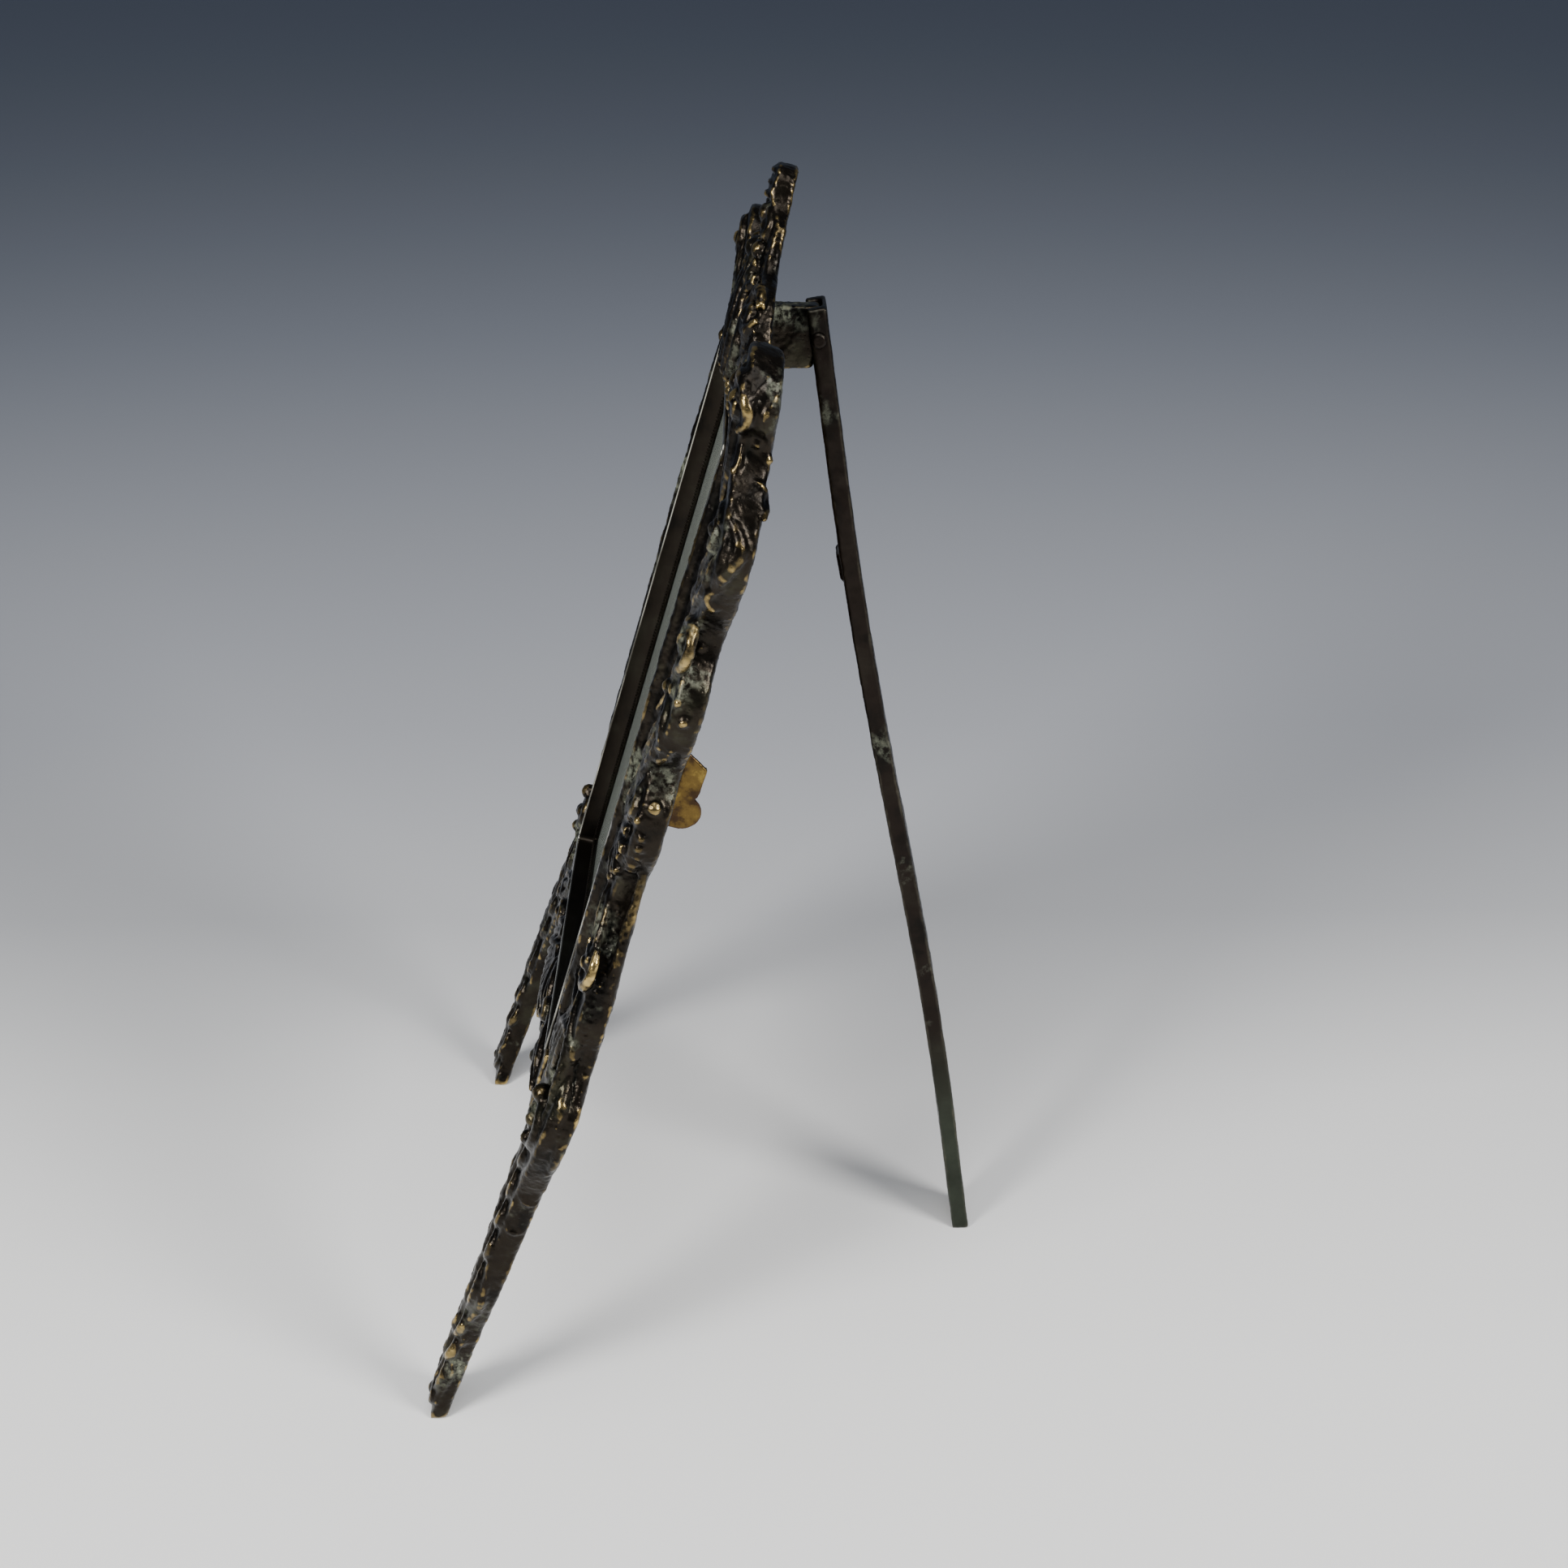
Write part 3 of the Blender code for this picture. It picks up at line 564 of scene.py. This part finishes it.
sideCasting = {
    "voxel": 0.5,
    "relax": 2,
    "swell": 0.30,
    "grain": 0.14,
    "seed": 3,
    "coreVoxel": 0.8,
    "coreRounds": 9,
    "frontStems": [  # route and thickness
        ([(73.5, 4), (75, 20), (76.5, 40), (76, 60), (73, 80), (74, 98)], [1.2, 1.6, 1.8, 1.8, 1.8, 1.2]),
        ([(59, 112), (59, 150), (59, 200), (59, 250), (60, 281)], [1.1, 1.5, 1.6, 1.5, 0.9]),
        ([(63, 150), (69, 142), (76, 136), (80, 128), (83, 117), (85, 106)], [0.6, 1.1, 1.4, 1.6, 1.3, 0.6]),
        ([(62, 214), (69, 224), (76, 232), (78, 243)], [0.6, 1.3, 1.5, 0.8]),
        ([(64, 236), (72, 247), (80, 252), (84, 262)], [0.6, 1.2, 1.5, 0.8]),
        ([(58, 279), (63, 284), (68, 285), (73, 281)], [0.6, 1.2, 1.4, 0.8]),
    ],
    "scrolls": [  # centre, radius, start, sweep, thickness
        ((76, 6), 4.5, 150, 420, 1.3),
        ((77, 105), 8.5, -110, 470, 1.9),
        ((74, 150), 7.5, 60, -400, 1.4),
        ((75, 238), 7.0, 240, 420, 1.4),
        ((76, 265), 6.4, 30, 430, 1.3),
        ((74, 293), 6.5, -60, 430, 1.5),
        ((72, 194), 5.0, -90, -420, 1.3),
    ],
    "leaves": [  # base, tip, width, lift
        ((74, 99), (71, 84), 11, 0.5),
        ((73, 88), (74, 74), 11, 0.6),
        ((74, 79), (76, 65), 10, 0.9),
        ((76, 69), (77, 55), 10, 0.9),
        ((77, 58), (77.5, 37), 9, 0.9),
        ((77, 40), (76.5, 27), 8, 1.3),
        ((76, 31), (75.5, 17), 8, 1.3),
        ((75, 21), (76, 4), 8, 1.0),
        ((66, 131), (63, 106), 6, 0.6),
        ((75, 146), (66, 170), 7, 0.6),
        ((75, 217), (64, 200), 8, 0.8),
        ((78, 212), (72, 226), 5, 0.4),
        ((77, 259), (67, 243), 8, 0.8),
        ((66, 268), (72, 300), 7, 0.8),
        ((62, 190), (74, 206), 7, 0.6),
    ],
    "edgeStems": [  # route and thickness, on the outer edge
        ([(285, 2.2), (279.5, -0.2), (279.5, 1.6), (281.5, 3.6)], [0.5, 0.8, 0.9, 0.5]),
        ([(279, 6.0), (278, 8.2), (275.5, 9.6), (273, 10.4)], [0.5, 1.0, 1.1, 0.5]),
        ([(272, 3.0), (269.5, 5.2), (265.6, 7.0), (259.5, 5.7), (256, 5.2)], [0.7, 1.4, 2.0, 1.7, 0.7]),
        ([(257, 6.6), (252.5, 4.0), (250, 5.6), (246.5, 3.2), (243, 3.0)], [0.7, 1.3, 1.1, 1.5, 1.3]),
        ([(300, 3.4), (294.5, 1.0), (290, 2.0)], [0.7, 1.2, 0.6]),
        ([(297, 5.6), (292.6, 4.8), (288, 6.0)], [0.6, 1.0, 0.6]),
        ([(220, 2.6), (216.5, 2.9), (213, 3.2)], [0.4, 0.7, 0.4]),
        ([(214, 6.4), (208.5, 5.0), (204, 3.2), (200, 1.4)], [0.8, 1.5, 1.3, 0.7]),
        ([(214, 6.8), (211, 5.6), (208, 7.0)], [0.5, 0.9, 0.5]),
        ([(177, 4.2), (171, 2.6), (167, 1.8)], [0.7, 1.3, 1.3]),
        (
            [(149, 1.6), (143, 2.0), (137, 3.0), (130, 4.4), (123, 5.2), (114, 5.6), (104, 5.4)],
            [0.6, 1.3, 1.6, 1.7, 1.6, 1.4, 0.6],
        ),
        ([(129, 1.2), (120, 1.5), (109, 2.0)], [0.6, 1.3, 0.9]),
        ([(178, 9.2), (150, 9.0), (125, 9.0), (104, 8.0), (94, 7.0)], [1.0, 1.9, 1.9, 1.7, 0.8]),
        ([(84, 2.6), (81.5, 4.6), (82, 7.2)], [0.5, 0.9, 0.5]),
        ([(73, 1.0), (71, 3.2), (72, 5.6)], [0.5, 0.9, 0.5]),
        ([(60, -0.6), (50, 0.6), (42, 0.4), (36, -1.4)], [0.6, 1.4, 1.3, 0.7]),
        ([(33, -1.4), (29, -0.6), (26, -2.6)], [0.6, 1.2, 0.8]),
        ([(22, -2.0), (17, -1.2), (11, -2.2), (5, -3.2)], [0.5, 1.2, 1.2, 0.7]),
    ],
    "edgeBeads": [  # up, out of the back, size
        (233.5, 3.8, 1.5),
        (222, 6.9, 1.6),
        (226, 4.6, 1.3),
        (238, 6.4, 1.2),
        (197, 6.8, 2.0),
        (193, 4.0, 1.2),
        (286, 5.0, 1.3),
        (283, 8.0, 1.1),
    ],
    "volutes": [  # across, up, size, on the front beside the rim's lower corner
        (78, 112, 2.6),
        (79, 104.5, 2.3),
        (79, 98.5, 2.0),
    ],
    "pearls": {"from": 189, "to": 178, "count": 5, "back": 6.2, "size": 1.3},
    "crust": {"from": 108, "to": 166, "count": 30, "back": 6.3, "size": 0.75},
    "fan": {
        "hub": (60, 183), "inner": 2, "outer": 15, "angles": range(-64, 65, 16), "thick": 1.4, "dip": 0.8,
    },
    "flower": {"hub": (72, 225), "reach": 4.0, "petals": 6, "thick": 1.5},
}


def buildSideCasting(name, side, node):
    look = sideCasting
    core = softCore("right_side_casting", look)
    parts = []
    for route, thick in look["frontStems"]:
        parts.append(addFrontStem(core, route, thick))
    for centre, radius, start, sweep, thick in look["scrolls"]:
        parts += addScroll(core, centre, radius, start, sweep, thick)
    for base, tip, width, lift in look["leaves"]:
        parts += addLeaf(core, base, tip, width, lift)
    for route, thick in look["edgeStems"]:
        parts.append(addFlankStem(core, route, thick))
    for up, back, size in look["edgeBeads"]:
        parts.append(addBead((flankAt(core, back, up) - size * 0.35, back, up), size))
    for across, up, size in look["volutes"]:
        parts.append(addBead((across, frontAt(core, across, up) - size * 0.7, up), size))
    scatter = random.Random(look["seed"])
    for row in (look["pearls"], look["crust"]):  # the pitted pearls, and the rough line below them
        for step in range(row["count"]):
            up = row["from"] + (row["to"] - row["from"]) * step / (row["count"] - 1)
            back = row["back"] + scatter.uniform(-0.5, 0.5)
            size = row["size"] * scatter.uniform(0.75, 1.2)
            parts.append(addBead((flankAt(core, back, up) - size * 0.3, back, up), size))
    parts += addFan(core, **look["fan"])
    parts += addFlower(core, **look["flower"])
    parts.append(core)
    whole = joinAs(name, parts)
    if side < 0:
        mirrorAcross(whole)
    casting = meltTogether(name, [whole], dict(look, seed=look["seed"] + side))
    cutAtFloor(casting)
    return dress(casting, castMetal, "frame", "casting", node)


def addPairWork(core, look, side):  # a centred casting's scrolls and leaves, on one side
    parts = []
    for (x, z), radius, start, sweep, thick, rise in look["scrolls"]:
        parts += addScroll(core, (side * x, z), radius, 90 + side * start, side * sweep, thick, rise)
    for (x, z), (tipX, tipZ), width, lift in look["leaves"]:
        parts += addLeaf(core, (side * x, z), (side * tipX, tipZ), width, lift)
    return parts


crest = {
    "voxel": 0.42,
    "relax": 2,
    "swell": 0.25,
    "grain": 0.16,
    "seed": 11,
    "coreVoxel": 0.6,
    "coreRounds": 10,
    "calmFrom": 15,  # the lug's skin is smooth from this far out of the back
    "groundFront": 3,  # the ground in front of this depth and under this height sinks behind the lobes
    "groundTop": 322,
    "setBack": 2.8,  # by this much
    "sideSetBack": 0.045,  # and further towards its ends, for each millimetre across
    "fan": {
        "hub": (0, 291), "inner": 6, "outer": 20, "angles": range(40, 141, 20), "thick": 1.5, "dip": 1.6,
    },
    "lobes": [  # route, thickness and lift, one side
        ([(2.5, 279), (4.5, 288), (4.0, 297), (2.5, 304)], [1.4, 2.2, 2.2, 1.2], 1.5),
        ([(9, 279), (12, 288), (11.5, 297), (8.5, 303)], [1.3, 2.1, 2.1, 1.1], 1.4),
        ([(17, 280), (20, 287), (19.5, 294), (16, 300)], [1.1, 1.7, 1.7, 0.9], 1.2),
    ],
    "scrolls": [  # centre, radius, start from the top, sweep, thickness, rise
        ((6.5, 314.5), 3.6, 90, -420, 1.3, 0.9),
        ((24, 298), 6.5, -60, 430, 1.6, 0.8),
        ((39, 286.5), 6.0, 80, -430, 1.5, 1.0),
    ],
    "leaves": [((20, 286), (32, 299), 7, 1.0), ((34, 283), (51, 286), 6, 0.8)],  # base, tip, width, lift
    "beads": [((0, 307.5), 3.0, 0.9), ((5.5, 308.5), 2.3, 0.7), ((0, 316), 2.7, 0.7)],  # place, size, lift
    "footRow": {"eachSide": 9, "pitch": 5.3, "up": 280.2, "size": 1.4, "lift": 0.6},
    "finialRings": [320.4, 323.2, 326.0],
    "ringRoute": [(-4.6, 1.4), (-2.4, -1.9), (2.4, -1.9), (4.6, 1.4)],  # across, out of the back
    "ringThick": [0.5, 0.6, 0.6, 0.5],
}


def sinkGround(core, look):
    front, top = look["groundFront"], look["groundTop"]
    for vertex in core.data.vertices:
        if vertex.co.y < front and vertex.co.z < top:
            sink = look["setBack"] + look["sideSetBack"] * abs(vertex.co.x)
            vertex.co.y += sink * min((front - vertex.co.y) / 4, 1) * min((top - vertex.co.z) / 6, 1)
    bpy.context.view_layer.update()


def buildCrest():
    core = softCore("crest_casting", crest)
    sinkGround(core, crest)
    parts = addFan(core, **crest["fan"])
    for side in (1, -1):
        for route, thick, lift in crest["lobes"]:
            parts.append(addFrontStem(core, [(side * x, z) for x, z in route], thick, lift))
        parts += addPairWork(core, crest, side)
        for place, size, lift in crest["beads"]:
            x = side * place[0]
            parts.append(addBead((x, frontAt(core, x, place[1]) - lift, place[1]), size))
    row = crest["footRow"]
    for step in range(-row["eachSide"], row["eachSide"] + 1):
        x = step * row["pitch"]
        parts.append(addBead((x, frontAt(core, x, row["up"]) - row["lift"], row["up"]), row["size"]))
    for up in crest["finialRings"]:
        parts.append(addStem([(x, y, up) for x, y in crest["ringRoute"]], crest["ringThick"]))
    parts.append(core)
    casting = meltTogether("crest", parts, crest)
    return dress(casting, crestMetal, "frame", "casting", "crest_casting")


apron = {
    "voxel": 0.42,
    "relax": 2,
    "swell": 0.22,
    "grain": 0.12,
    "seed": 17,
    "coreVoxel": 0.7,
    "coreRounds": 6,
    "fan": {
        "hub": (0, 103), "inner": 3, "outer": 20, "angles": range(-155, -24, 13), "thick": 1.5, "dip": 1.4,
    },
    "scrolls": [((26, 99), 5.0, -90, -430, 1.4, 0.8), ((42, 96), 5.0, 90, 430, 1.4, 0.8)],
    "leaves": [((8, 104), (21, 95), 6, 0.8), ((34, 104), (52, 92), 6, 0.8)],
}


def buildApron():
    core = softCore("apron_casting", apron)
    parts = addFan(core, **apron["fan"])
    for side in (1, -1):
        parts += addPairWork(core, apron, side)
    parts.append(core)
    casting = meltTogether("apron", parts, apron)
    return dress(casting, castMetal, "frame", "casting", "apron_casting")


buildSideCasting("rightSide", 1, "right_side_casting")
buildSideCasting("leftSide", -1, "left_side_casting")
buildCrest()
buildApron()
print("castings done")

# The rim, with a milled line of small beads where it meets the glass.

rimMake = {
    "edge": 0.35,
    "steps": 3,
    "beadSize": 0.42,
    "beadPitch": 0.95,
    "beadDeep": 4.75,
    # strength of the painted highlight on the rim's front edge
    "edgeWearAndLight": 0.9,
    "brightTo": 0.25,  # painted highlight, full strength from the front edge to here
    "darkFrom": 0.55,
    "smoothUnder": 35,
}


def addBeadRow(start, step, count):
    bpy.ops.mesh.primitive_ico_sphere_add(subdivisions=1, radius=rimMake["beadSize"], location=start)
    row = bpy.context.object
    bpy.ops.object.transform_apply(location=True, rotation=False, scale=False)
    repeat = row.modifiers.new("Row", "ARRAY")
    repeat.count = count
    repeat.use_relative_offset = False
    repeat.use_constant_offset = True
    repeat.constant_offset_displace = step
    applyAll(row)
    return row


def paintFrontEdgeHighlight(rim):  # a painted highlight along the front edge, fading into the dark side walls
    bright, dark = rimMake["brightTo"], rimMake["darkFrom"]
    shares = [min(max((dark - v.co.y) / (dark - bright), 0), 1) for v in rim.data.vertices]
    attribute = rim.data.attributes.new("raised", "FLOAT", "POINT")
    attribute.data.foreach_set("value", [rimMake["edgeWearAndLight"] * share for share in shares])


def buildRim():
    rim = castCopy("rim_box")
    roundEdges(rim, rimMake["edge"], rimMake["steps"])
    ring = (0, rimMake["darkFrom"], 0)
    editAll(rim, lambda: bpy.ops.mesh.bisect(plane_co=ring, plane_no=(0, 1, 0)))
    inset = rimBox["wall"] + rimBox["lipWidth"]
    halfWide, low, high = rimSide - inset, rimBottom + inset, rimTop - inset
    pitch, deep = rimMake["beadPitch"], rimMake["beadDeep"]
    along = int(2 * halfWide / pitch)
    up = int((high - low) / pitch)
    rows = [
        addBeadRow((-halfWide, deep, low), (2 * halfWide / along, 0, 0), along),
        addBeadRow((halfWide, deep, high), (-2 * halfWide / along, 0, 0), along),
        addBeadRow((halfWide, deep, low), (0, 0, (high - low) / up), up),
        addBeadRow((-halfWide, deep, high), (0, 0, -(high - low) / up), up),
    ]
    rim = joinAs("rim", [rim] + rows)
    paintFrontEdgeHighlight(rim)
    rim.data.transform(leaning)
    smoothShade(rim, rimMake["smoothUnder"])
    return dress(rim, rimMetal, "frame", "rim", "rim_box")


buildRim()

# The flat pieces inside the rim.


def glassLook():
    material, tree, shader = newMaterial("paleGlassPaintedLight")
    # The pale green-grey diffuse share left by a transmission of 0.55 is painted light, standing in for the
    # light that would reach the card through the glass.
    shader.inputs["Base Color"].default_value = (0.46, 0.50, 0.45, 1)
    shader.inputs["Roughness"].default_value = 0.14
    shader.inputs["Transmission Weight"].default_value = 0.55
    shader.inputs["IOR"].default_value = 1.5
    addBump(tree, shader, addNoise(tree, objectPlace(tree), 40.0, 2.0), 0.02, 0.001)
    return material


def cardLook():
    material, tree, shader = newMaterial("agedCard")
    place = objectPlace(tree)
    stain = addNoise(tree, place, 30.0, 6.0, 0.6)
    stops = [(0.35, (0.30, 0.31, 0.27)), (0.55, (0.40, 0.41, 0.36)), (0.75, (0.46, 0.46, 0.41))]
    tree.links.new(ramp(tree, stain, stops), shader.inputs["Base Color"])
    fibre = addNoise(tree, place, 2500.0, 4.0)
    addBump(tree, shader, fibre, 0.15, 0.0001)
    shader.inputs["Roughness"].default_value = 0.85
    return material


def boardLook():
    material, tree, shader = newMaterial("stainedBoard")
    stretch = addNode(tree, "ShaderNodeMapping", [("Vector", objectPlace(tree))])
    stretch.inputs["Scale"].default_value = (1.0, 1.0, 0.06)  # the grain runs up the board
    place = stretch.outputs["Vector"]
    grain = addNoise(tree, place, 900.0, 6.0, 0.65)
    broad = addNoise(tree, place, 120.0, 3.0)
    fine = ramp(tree, grain, [(0.35, (0.030, 0.016, 0.008)), (0.60, (0.11, 0.060, 0.028))])
    wide = ramp(tree, broad, [(0.35, (0.045, 0.024, 0.012)), (0.65, (0.13, 0.072, 0.034))])
    tree.links.new(mixColour(tree, 0.5, fine, wide), shader.inputs["Base Color"])
    addBump(tree, shader, grain, 0.25, 0.0002)
    shader.inputs["Roughness"].default_value = 0.6
    return material


flatPieces = {
    "glass": {"node": "glass_pane", "slot": "glass", "edge": 0.25, "look": glassLook},
    "card": {"node": "photo_card", "slot": "card", "edge": 0.12, "look": cardLook},
    "board": {"node": "back_board", "slot": "board", "edge": 0.40, "look": boardLook},
}


def buildFlatPiece(name, make):
    piece = castCopy(make["node"])
    roundEdges(piece, make["edge"], 2)
    piece.name = name
    piece.data.transform(leaning)
    smoothShade(piece, 30)
    return dress(piece, make["look"](), "frame", make["slot"], make["node"])


for name, make in flatPieces.items():
    buildFlatPiece(name, make)
print("rim and its insides done")

# The strut and its pin.

strutMake = {"voxel": 0.55, "relax": 3, "swell": 0.16, "grain": 0.06, "seed": 23}
pinMake = dict(strutMake, voxel=0.18, swell=0.03, grain=0.02)

strut = meltTogether("strutBar", [castCopy("strut")], strutMake)  # soft, slightly uneven edges
dress(strut, strutMetal, "strut", "strut", "strut")
pin = meltTogether("hingePin", [castCopy("hinge_pin")], pinMake)
dress(pin, strutMetal, "strut", "fittings", "hinge_pin")

# The turn clips and their rivets.

clipMake = {"voxel": 0.26, "relax": 3, "swell": 0.10, "grain": 0.04, "seed": 31}
rivetMake = dict(clipMake, voxel=0.2, swell=0.03)

for side in ("left", "right"):
    clip = meltTogether(side + "Clip", [castCopy(side + "_turn_clip")], clipMake)
    dress(clip, clipMetal, side + "_clip", "fittings", side + "_turn_clip")
    rivet = meltTogether(side + "Rivet", [castCopy(side + "_clip_rivet")], rivetMake)
    dress(rivet, clipMetal, "frame", "fittings", side + "_clip_rivet")
print("strut and clips done")

# The stage.

stage = {
    "size": 16,
    "darkFar": -1.0,  # painted light falloff: the floor darkens from here, behind the frame, to its pale front
    "paleNear": 0.25,
    "paintedFalloff": [
        (0.0, (0.36, 0.38, 0.43)),
        (0.53, (0.40, 0.41, 0.44)),
        (0.66, (0.46, 0.465, 0.48)),
        (0.75, (0.67, 0.67, 0.67)),
        (0.85, (0.76, 0.76, 0.755)),
        (1.0, (0.80, 0.80, 0.79)),
    ],
}


def buildStage():
    bpy.ops.mesh.primitive_plane_add(size=stage["size"], location=(0, 0, 0))
    floor = bpy.context.object
    floor.name = "studioFloor"
    material, tree, shader = newMaterial("paleFloorPaintedFalloff")
    across = addNode(tree, "ShaderNodeSeparateXYZ", [(0, objectPlace(tree))]).outputs["X"]
    # painted light falloff: the floor is coloured darker far behind the frame and pale in front
    reach = addRange(tree, across, stage["darkFar"], stage["paleNear"])
    tree.links.new(ramp(tree, reach, stage["paintedFalloff"], smooth=False), shader.inputs["Base Color"])
    shader.inputs["Roughness"].default_value = 0.7
    floor.data.materials.append(material)


lamps = {
    "softLeft": {"place": (0.68, -0.70, 0.72), "aim": (0.08, 0, 0.03), "size": 0.42, "power": 16,
                 "colour": (1.0, 0.985, 0.955)},
    "softRight": {"place": (0.60, 0.80, 0.72), "aim": (0.08, 0, 0.03), "size": 0.42, "power": 15,
                  "colour": (1.0, 0.985, 0.96)},
    "softTop": {"place": (0.35, 0.0, 1.1), "aim": (0.15, 0, 0), "size": 0.6, "power": 5.5,
                "colour": (1, 1, 1)},
}
room = {"colour": (0.26, 0.31, 0.40, 1), "strength": 0.35}


def buildLights():
    for name, lamp in lamps.items():
        data = bpy.data.lights.new(name, "AREA")
        data.shape = "DISK"
        data.size = lamp["size"]
        data.energy = lamp["power"]
        data.color = lamp["colour"]
        light = bpy.data.objects.new(name, data)
        bpy.context.scene.collection.objects.link(light)
        light.location = lamp["place"]
        beam = Vector(lamp["aim"]) - Vector(lamp["place"])
        light.rotation_euler = beam.to_track_quat("-Z", "Y").to_euler()
    world = bpy.data.worlds.new("dimRoom")
    world.use_nodes = True
    background = world.node_tree.nodes["Background"]
    background.inputs["Color"].default_value = room["colour"]
    background.inputs["Strength"].default_value = room["strength"]
    bpy.context.scene.world = world


cameraView = {
    "place": (0.4633, 0.0137, 0.3998),
    "yaw": 0.848,
    "pitch": 28.22,
    "roll": 0.02,
    "sensor": 36,
    "focal": 1.2358,  # in sensor widths
}


def buildCamera():
    view = cameraView
    data = bpy.data.cameras.new("sideView")
    data.sensor_width = view["sensor"]
    data.lens = view["sensor"] * view["focal"]
    camera = bpy.data.objects.new("sideView", data)
    bpy.context.scene.collection.objects.link(camera)
    camera.location = view["place"]
    yaw, pitch, roll = (math.radians(view[turn]) for turn in ("yaw", "pitch", "roll"))
    forward = Vector((-math.cos(yaw) * math.cos(pitch), math.sin(yaw) * math.cos(pitch), -math.sin(pitch)))
    aim = forward.to_track_quat("-Z", "Y")
    camera.rotation_euler = (aim.to_matrix() @ Matrix.Rotation(roll, 3, "Z")).to_euler()
    bpy.context.scene.camera = camera


buildStage()
buildLights()
buildCamera()
print("stage, lights and camera done")
